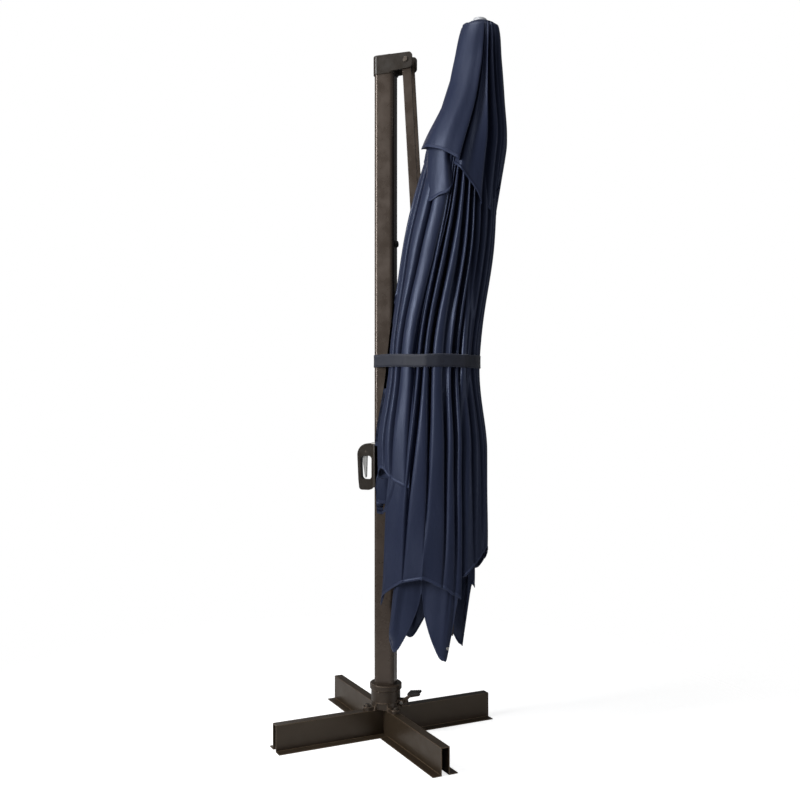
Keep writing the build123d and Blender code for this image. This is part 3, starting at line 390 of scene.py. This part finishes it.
def grid_mesh(name, grid, material):
    """Mesh object from points [column, row, xyz] that close round, with UVs in metres of cloth."""
    cols, rows = grid.shape[:2]
    mesh = bpy.data.meshes.new(name)
    faces = []
    for c in range(cols):
        d = (c + 1) % cols
        for r in range(rows - 1):
            faces.append((c * rows + r, c * rows + r + 1, d * rows + r + 1, d * rows + r))
    mesh.from_pydata(grid.reshape(-1, 3).tolist(), [], faces)
    across = np.linalg.norm(np.diff(grid[:, rows // 2], axis=0, append=grid[:1, rows // 2]), axis=1)
    u = np.concatenate([[0], np.cumsum(across)])
    down = np.linalg.norm(np.diff(grid, axis=1), axis=2)
    v = np.concatenate([np.zeros((cols, 1)), np.cumsum(down, 1)], 1)
    layer = mesh.uv_layers.new(name="cut").data
    at = 0
    for c in range(cols):
        d = (c + 1) % cols
        for r in range(rows - 1):
            for uu, cc, rr in ((u[c], c, r), (u[c], c, r + 1), (u[c + 1], d, r + 1), (u[c + 1], d, r)):
                layer[at].uv = (uu, v[cc, rr])
                at += 1
    mesh.polygons.foreach_set("use_smooth", [True] * len(mesh.polygons))
    mesh.materials.append(material)
    obj = bpy.data.objects.new(name, mesh)
    SCENE.collection.objects.link(obj)
    return obj


def weld(obj):
    """Joins points that lie in one place, so that a band's section closes."""
    mesh = bmesh.new()
    mesh.from_mesh(obj.data)
    bmesh.ops.remove_doubles(mesh, verts=mesh.verts, dist=1e-6)
    mesh.to_mesh(obj.data)
    mesh.free()


def normals_of(grid):
    """Unit normals of a grid of points that closes round."""
    across = np.roll(grid, -1, 0) - np.roll(grid, 1, 0)
    n = np.cross(across, np.gradient(grid, axis=1))
    return n / np.maximum(np.linalg.norm(n, axis=2, keepdims=True), 1e-9)


def hem_band(name, grid, width, thick, material):
    """Folded hem wrapped over the lower edge of a grid."""
    n = normals_of(grid)
    low, up = grid[:, -1], grid[:, -2]
    step = up - low
    length = np.maximum(np.linalg.norm(step, axis=1, keepdims=True), 1e-6)
    up = low + step / length * width
    under = low - step / length * thick
    side = n[:, -1] * thick
    ring = np.stack([up + side * 0.6, low + side, under, low - side, up - side * 0.6, up + side * 0.6], 1)
    return grid_mesh(name, ring, material)


# where cloth may not be: half sizes of the mast and heights of its sleeve, each with some room added
MAST_X, MAST_Y = 0.0475, 0.0355
SLEEVE = (0.89, 1.09)


def clear_of_mast(grid):
    """Moves cloth out of the mast and its sleeve, which it hangs in front of."""
    x, y, z = grid[..., 0], grid[..., 1], grid[..., 2]
    wide = np.clip(1 - np.abs(z - sum(SLEEVE) / 2) / (SLEEVE[1] - SLEEVE[0]) + 0.4, 0, 1)
    ym = MAST_Y + 0.009 * wide
    xm = MAST_X + 0.008 * wide
    inside = (x < xm) & (np.abs(y) < ym)
    to_side = inside & ((np.abs(y) > 0.012) | (x < -0.02))
    grid[..., 1] = np.where(to_side, np.where(y <= 0, -ym, ym), y)
    grid[..., 0] = np.where(inside & ~to_side, xm, x)
    return grid


# the closed ribs and the ring of their pivots, with the values that part.py has
REAR = 180


def rib_fold(azimuth):
    """Degrees from the post to a closed rib."""
    if azimuth in (0, 45):
        return 1.4
    return 5.14 if azimuth == REAR else 2.3


def rib_length(azimuth):
    """Length of a rib: the corner ones are long, and the one beside the mast is short."""
    if azimuth % 90:
        return 2.17
    return 1.33 if azimuth == REAR else 1.518


RIB_PIVOT_R = 0.05
CROWN = Vector((0.348, 0, 2.53))
LEAN = math.radians(5.1)
HEAD_X = np.array((math.cos(LEAN), 0, -math.sin(LEAN)))
HEAD_Y = np.array((0.0, 1.0, 0.0))
HEAD_Z = np.array((math.sin(LEAN), 0, math.cos(LEAN)))


def over_ribs(grid):
    """Lifts cloth that would cut a folded rib, so that it drapes over it."""
    p = grid - np.array(CROWN)
    hx, hy, down = p @ HEAD_X, p @ HEAD_Y, -(p @ HEAD_Z)
    r = np.hypot(hx, hy)
    turn = np.degrees(np.arctan2(hy, hx))
    deep, proud, lift, half = 0.030, 0.016, 0.0115, 0.026
    for azimuth in range(0, 360, 45):
        length = rib_length(azimuth)
        rib_r = RIB_PIVOT_R + down * math.tan(math.radians(rib_fold(azimuth)))
        off = np.abs((turn - azimuth + 180) % 360 - 180)
        side = np.radians(off) * rib_r
        near = np.clip(1 - side / half, 0, 1) * np.clip((length + 0.02 - down) / 0.04, 0, 1)
        near = near * near * (3 - 2 * near)
        near = np.clip(near * 1.7, 0, 1)
        share = np.clip((r - (rib_r - deep)) / (deep + proud), 0, 1)
        held = rib_r + lift + share * (proud - lift)
        inside = (r > rib_r - deep) & (r < rib_r + proud)
        r = np.where(inside, r + (np.maximum(held, r) - r) * near, r)
    k = r / np.maximum(np.hypot(hx, hy), 1e-9)
    spread = (hx * k)[..., None] * HEAD_X + (hy * k)[..., None] * HEAD_Y
    return np.array(CROWN) + spread - down[..., None] * HEAD_Z


# ---- how the closed cloth hangs --------------------------------------------------------------
STRAP_LOW, STRAP_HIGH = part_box("tie_strap")
WAIST_Z = (STRAP_LOW[2] + STRAP_HIGH[2]) / 2
WAIST_FRONT = STRAP_HIGH[0] - 0.004
WAIST_HALF_X = 0.163
WAIST_HALF_Y = STRAP_HIGH[1] - 0.004
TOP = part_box("vent_cover")[1][2] - 0.010
CORNER_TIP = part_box("rib_225")[0][2] - 0.050
SHOULDER_Z = 1.90
SKIRT_Z = 0.90

# the bundle's girth: height, middle, half width along X and along Y
BUNDLE = [
    (TOP, 0.350, 0.042, 0.052),
    (2.45, 0.338, 0.066, 0.076),
    (2.15, 0.290, 0.120, 0.108),
    (1.75, 0.233, 0.163, 0.122),
    (WAIST_Z, WAIST_FRONT - WAIST_HALF_X, WAIST_HALF_X, WAIST_HALF_Y),
    (1.05, 0.176, 0.201, 0.136),
    (0.60, 0.182, 0.196, 0.140),
    (CORNER_TIP, 0.166, 0.184, 0.150),
]


def strand(hem, angles, depths, knee=None):
    """A line of cloth from the shoulder past the waist to its hem; angle 0 faces away from the mast.

    depths are in mm, and knee is the angle and depth at the skirt, for cloth that turns there.
    """
    line = list(zip((SHOULDER_Z, WAIST_Z, hem), angles, depths))
    if knee:
        line.append((SKIRT_Z, *knee))
    return hem, line


def fold(hem, angles, deep, rise=0.0, step=3.0):
    """A pleat: a crest, the valley tucked in between, and the next crest; rise is the hem's, per degree.

    The valley opens out below the waist, where the cloth hangs free.
    """
    share = (WAIST_Z - SKIRT_Z) / (WAIST_Z - hem)
    turn = angles[1] + (angles[2] - angles[1]) * share
    knee = (turn, deep[2] + (deep[1] - deep[2]) * 0.22) if hem < SKIRT_Z - 0.05 else None
    inner = (turn - step * 0.3, knee[1]) if knee else None
    return [
        strand(hem - rise * step, [a - step for a in angles], (1, 0, 0)),
        strand(hem - rise * step * 0.3, [a - step * 0.3 for a in angles], [d * 0.9 for d in deep], inner),
        strand(hem, angles, deep, knee),
        strand(hem + rise * step, [a + step for a in angles], (1, 1, 0)),
    ]


def tail(tip, angle, sides, depth):
    """The cloth of a folded corner round its rib's tip: sides holds the turn from the tip and the rise."""
    run = []
    for turn, rise in sides:
        deep = depth + 0.9 * abs(turn)
        at = angle + turn
        run.append(strand(tip + rise, (at + 8, at + 4, at), (deep + 30, deep + 24, deep)))
    return run


RIGHT_TAIL_SIDES = ((5, 0.015), (0, 0), (-6, 0.012), (-18, 0.075), (-30, 0.150))
LEFT_TAIL_SIDES = ((30, 0.170), (20, 0.090), (7, 0.015), (0, 0), (-12, 0.020), (-19, 0.060))
BACK = strand(0.80, (180, 180, 180), (0, 0, 0))
FRONT = strand(0.715, (0, 0, 0), (0, 0, 0))
NEAR = [
    *fold(0.86, (-174, -174, -174), (80, 78, 70)),
    *fold(0.95, (-161, -161, -161), (84, 80, 70)),
    strand(0.985, (-150, -151, -150), (3, 0, 0)),
    *fold(0.980, (-138, -142, -140), (60, 46, 4), -0.0015),
    *fold(0.953, (-112, -129, -127), (72, 66, 5), -0.0018),
    *fold(0.925, (-87, -105, -107), (74, 66, 6), -0.0018),
    strand(0.860, (-104, -112, -112), (60, 50, 24)),
    strand(0.828, (-114, -119, -143), (40, 36, 6), (-127, 8)),
    strand(0.826, (-116, -122, -147), (38, 34, 3), (-130, 6)),
    strand(0.832, (-114, -118, -140), (46, 40, 14), (-124, 18)),
    strand(0.850, (-96, -104, -112), (56, 50, 28), (-108, 22)),
    strand(0.507, (-104, -122, -154), (60, 52, 4), (-134, 12)),
    strand(0.505, (-106, -124, -158), (58, 50, 1), (-138, 7)),
    strand(0.525, (-102, -118, -150), (40, 34, 0), (-124, 12)),
    strand(0.560, (-98, -110, -130), (26, 24, 3), (-114, 10)),
    *fold(0.586, (-84, -93, -112), (72, 66, 3), 0.0011),
    *fold(0.604, (-75, -80, -89), (74, 66, -6), 0.0),
    *fold(0.578, (-64, -61, -69), (72, 64, 3), -0.0012),
    *fold(0.553, (-55, -51, -56), (72, 64, 3), -0.0012),
    strand(0.540, (-49, -44, -49), (2, 1, 1)),
    strand(0.545, (-50, -46, -50), (40, 34, 12)),
    *tail(CORNER_TIP - 0.006, -58, RIGHT_TAIL_SIDES, 13),
    strand(0.550, (-90, -90, -94), (60, 60, 40)),
    *tail(CORNER_TIP + 0.006, -128, LEFT_TAIL_SIDES, 13),
    strand(0.560, (-135, -135, -135), (90, 84, 64)),
    strand(0.600, (-110, -110, -110), (98, 90, 70)),
    strand(0.640, (-80, -80, -80), (98, 90, 72)),
    strand(0.650, (-55, -55, -56), (90, 80, 52)),
    strand(0.618, (-47, -42, -47), (30, 24, 16)),
    strand(0.620, (-43, -38, -43), (2, 2, 1)),
    *fold(0.655, (-36, -32, -29), (74, 66, 4), 0.0020),
    *fold(0.690, (-22, -20, -13), (74, 64, 3), 0.0018),
    *fold(0.703, (-10, -9, -6), (68, 56, 2), 0.0016),
]


NECK_Z = 2.20
NECK_DEPTH = 20


def gather(line, top):
    """The top of a strand closes in to the crown, where a long one is first made shallow at the neck."""
    first = max(line)
    extra = [(NECK_Z, first[1], min(first[2], NECK_DEPTH))] if first[0] < NECK_Z else []
    return [*line, *extra, (top, first[1], 0)]


def mirrored(line_of_cloth):
    """The same strand on the far side."""
    hem, line = line_of_cloth
    return hem, [(z, -a, d) for z, a, d in line]


def pleated(rings, top, near, back, front, rows, step):
    """Closed sheet from the near strands, the far ones mirrored, and the two that they share."""
    back = (back[0], [(z, -180, d) for z, _, d in back[1]])
    order = [back, *near, front, *[mirrored(s) for s in reversed(near)]]
    strands = [strand_points(rings, top, hem, gather(line, top), rows) for hem, line in order]
    return loft(strands, step)


canopy_grid = clear_of_mast(over_ribs(pleated(BUNDLE, TOP, NEAR, BACK, FRONT, rows=150, step=5)))
canopy = grid_mesh("canopy", canopy_grid, MATERIALS["cloth"])
canopy_hem = hem_band("canopy_hem", canopy_grid, width=0.011, thick=0.0014, material=MATERIALS["hem"])

# ---- vent cover ------------------------------------------------------------------------------
VENT_TOP = TOP + 0.014
VENT_SHOULDER = 2.42
VENT_BUNDLE = [
    (VENT_TOP, 0.354, 0.034, 0.034),
    (VENT_TOP - 0.02, 0.353, 0.067, 0.066),
    (2.44, 0.343, 0.086, 0.090),
    (2.30, 0.331, 0.107, 0.115),
    (2.12, 0.294, 0.151, 0.136),
    (1.90, 0.264, 0.145, 0.134),
]


def vent_strand(hem, high_angle, low_angle, depth, low_depth):
    """A line of the vent cover from its shoulder to its hem."""
    middle = (VENT_SHOULDER + hem) / 2
    return hem, [
        (VENT_SHOULDER, high_angle, depth),
        (middle, (high_angle + low_angle) / 2, (depth + low_depth) / 2),
        (hem, low_angle, low_depth),
    ]


VENT_BACK = (2.10, [(VENT_SHOULDER, 180, 0), (2.10, 180, 6)])
VENT_FRONT = (2.02, [(VENT_SHOULDER, 0, 0), (2.02, 0, 4)])
VENT_NEAR = [
    vent_strand(2.060, -170, -166, 30, 26),
    vent_strand(1.965, -160, -135, 4, 14),
    vent_strand(1.935, -150, -122, 12, 8),
    vent_strand(1.950, -142, -105, 16, 7),
    vent_strand(1.965, -134, -90, 18, 10),
    vent_strand(2.040, -124, -95, 40, 54),
    vent_strand(2.100, -126, -130, 40, 34),
    vent_strand(2.130, -127, -150, 10, 8),
    vent_strand(2.132, -127, -154, -3, -8),
    vent_strand(2.125, -110, -130, 0, -10),
    vent_strand(2.105, -90, -107, 0, -9),
    vent_strand(2.085, -76, -93, 0, -7),
    vent_strand(2.066, -64, -81, -3, -7),
    vent_strand(2.068, -65, -84, 18, 20),
    vent_strand(2.060, -67, -90, 30, 26),
    vent_strand(2.037, -60, -78, 6, 4),
    vent_strand(2.000, -57, -64, 12, 8),
    vent_strand(1.960, -54, -50, 2, 0),
    vent_strand(1.920, -52, -41, -2, -4),
    vent_strand(1.915, -45, -32, 34, 30),
    vent_strand(1.908, -42, -26, 4, 3),
    vent_strand(1.900, -38, -20, -3, -3),
    vent_strand(1.925, -32, -15, 30, 22),
    vent_strand(1.945, -26, -10, 0, 0),
    vent_strand(1.950, -20, -8, 34, 24),
    vent_strand(1.985, -10, -5, 0, 2),
]

vent_grid = pleated(VENT_BUNDLE, VENT_TOP, VENT_NEAR, VENT_BACK, VENT_FRONT, rows=64, step=6)
vent = grid_mesh("vent", vent_grid, MATERIALS["cloth"])
vent_hem = hem_band("vent_hem", vent_grid, width=0.010, thick=0.0013, material=MATERIALS["hem"])


# ---- tie strap ------------------------------------------------------------------------------
def hull(points):
    """Convex outline of points in the plane, in order."""
    pts = sorted(map(tuple, points))
    halves = []
    for run in (pts, pts[::-1]):
        chain = []
        for p in run:
            while len(chain) > 1 and ((chain[-1][0] - chain[-2][0]) * (p[1] - chain[-2][1])
                                      - (chain[-1][1] - chain[-2][1]) * (p[0] - chain[-2][0])) <= 0:
                chain.pop()
            chain.append(p)
        halves.append(chain[:-1])
    return np.array(halves[0] + halves[1])


STRAP_COLUMNS = 420


def strap_grid():
    """Band drawn tight round the mast and the folds, and its length."""
    flat = canopy_grid.reshape(-1, 3)
    near = flat[np.abs(flat[:, 2] - WAIST_Z) < 0.02][:, :2]
    lo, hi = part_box("mast_tube")
    corner = 0.010
    mast = [(sx * (hi[0] - corner) + corner * math.cos(a), sy * (hi[1] - corner) + corner * math.sin(a))
            for sx in (1, -1) for sy in (1, -1) for a in np.linspace(0, 2 * math.pi, 24, endpoint=False)]
    outline = hull(list(near) + mast)
    closed = np.vstack([outline, outline[:1]])
    run = np.concatenate([[0], np.cumsum(np.linalg.norm(np.diff(closed, axis=0), axis=1))])
    s = np.linspace(0, run[-1], STRAP_COLUMNS, endpoint=False)
    length = run[-1]
    xy = np.stack([np.interp(s, run, closed[:, i]) for i in (0, 1)], 1)
    for _ in range(5):
        xy = 0.25 * np.roll(xy, 1, 0) + 0.5 * xy + 0.25 * np.roll(xy, -1, 0)
    tangent = np.roll(xy, -1, 0) - np.roll(xy, 1, 0)
    out = np.stack([tangent[:, 1], -tangent[:, 0]], 1)
    out /= np.linalg.norm(out, axis=1, keepdims=True)
    lo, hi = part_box("tie_strap")
    levels = [
        (hi[2], 0.0015),
        (hi[2] - 0.002, 0.0028),
        (hi[2] - 0.010, 0.0024),
        ((lo[2] + hi[2]) / 2, 0.0022),
        (lo[2] + 0.010, 0.0024),
        (lo[2] + 0.002, 0.0028),
        (lo[2], 0.0015),
        (lo[2] + 0.001, 0.0005),
        (hi[2] - 0.001, 0.0005),
        (hi[2], 0.0015),
    ]
    sag = 0.0012 * np.sin(xy[:, 0] * 31) - 0.006 * np.clip(xy[:, 0] / 0.35, 0, 1)
    cols = [np.column_stack([xy + out * d, z + sag]) for z, d in levels]
    return np.stack(cols, 1), float(length)


strap_points, STRAP_LENGTH = strap_grid()
strap = grid_mesh("strap", strap_points, MATERIALS["strap"])
weld(strap)

# ---- snap button on the right tail -------------------------------------------------------------
def add_snap():
    """Domed press stud on the cloth just above the right tail's tip, facing outward."""
    tail_side = canopy_grid[(canopy_grid[:, -1, 1] < 0) & (canopy_grid[:, -1, 0] > 0.2)]
    lowest = tail_side[np.argmin(tail_side[:, -1, 2])]
    seat = np.array(lowest[-4])
    out = np.array((0.35, -0.93, 0.0))
    side = np.cross(out, (0, 0, 1.0))
    profile = [
        (0.0001, 0.0032),
        (0.0022, 0.0030),
        (0.0038, 0.0021),
        (0.0046, 0.0012),
        (0.0060, 0.0010),
        (0.0062, 0.0),
    ]
    turns = np.linspace(0, 2 * math.pi, 28, endpoint=False)
    grid = np.array([[seat + out * rise + r * (side * math.cos(a) + np.array((0, 0, 1.0)) * math.sin(a))
                      for r, rise in profile] for a in turns])
    stud = grid_mesh("snap_button", grid, MATERIALS["steel"])
    return stud


snap = add_snap()

# ---- riding on the head, and hiding the parts they stand in for -------------------------------
for soft in (canopy, canopy_hem, vent, vent_hem, strap, snap):
    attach(soft, "head")
    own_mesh(soft)
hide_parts("canopy_front", "canopy_right", "canopy_left", "canopy_rear_right", "canopy_rear_left")
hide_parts("vent_cover")
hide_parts("tie_strap")


# ---- floor ----------------------------------------------------------------------------------
def add_floor():
    """White floor under the object that fades out round it."""
    s = Shader("floor", (0.93, 0.93, 0.93), 0.85, 0.0, Emission_Strength=0.55)
    s.set(s.bsdf, "Emission Color", (1, 1, 1, 1))
    far = s.node("VectorMath", operation="LENGTH")
    s.link(s.coords(), far.inputs[0])
    clear = s.node("BsdfTransparent")
    path = s.node("LightPath")
    glow = s.node("Math", operation="MULTIPLY")
    glow.inputs[1].default_value = 0.75
    s.link(path.outputs["Is Camera Ray"], glow.inputs[0])
    s.link(glow.outputs[0], s.bsdf.inputs["Emission Strength"])
    fade = s.node("MixShader")
    s.link(s.spread(far.outputs["Value"], 0, 1, (0.75, 1.9)), fade.inputs[0])
    s.link(s.bsdf.outputs[0], fade.inputs[1])
    s.link(clear.outputs[0], fade.inputs[2])
    s.link(fade.outputs[0], s.nt.nodes["Material Output"].inputs["Surface"])
    side = 3.0
    level = -0.001
    corners = [(x * side, y * side, level) for x, y in ((-1, -1), (1, -1), (1, 1), (-1, 1))]
    mesh = bpy.data.meshes.new("floor")
    mesh.from_pydata(corners, [], [(0, 1, 2, 3)])
    mesh.materials.append(s.mat)
    floor = bpy.data.objects.new("floor", mesh)
    SCENE.collection.objects.link(floor)


add_floor()
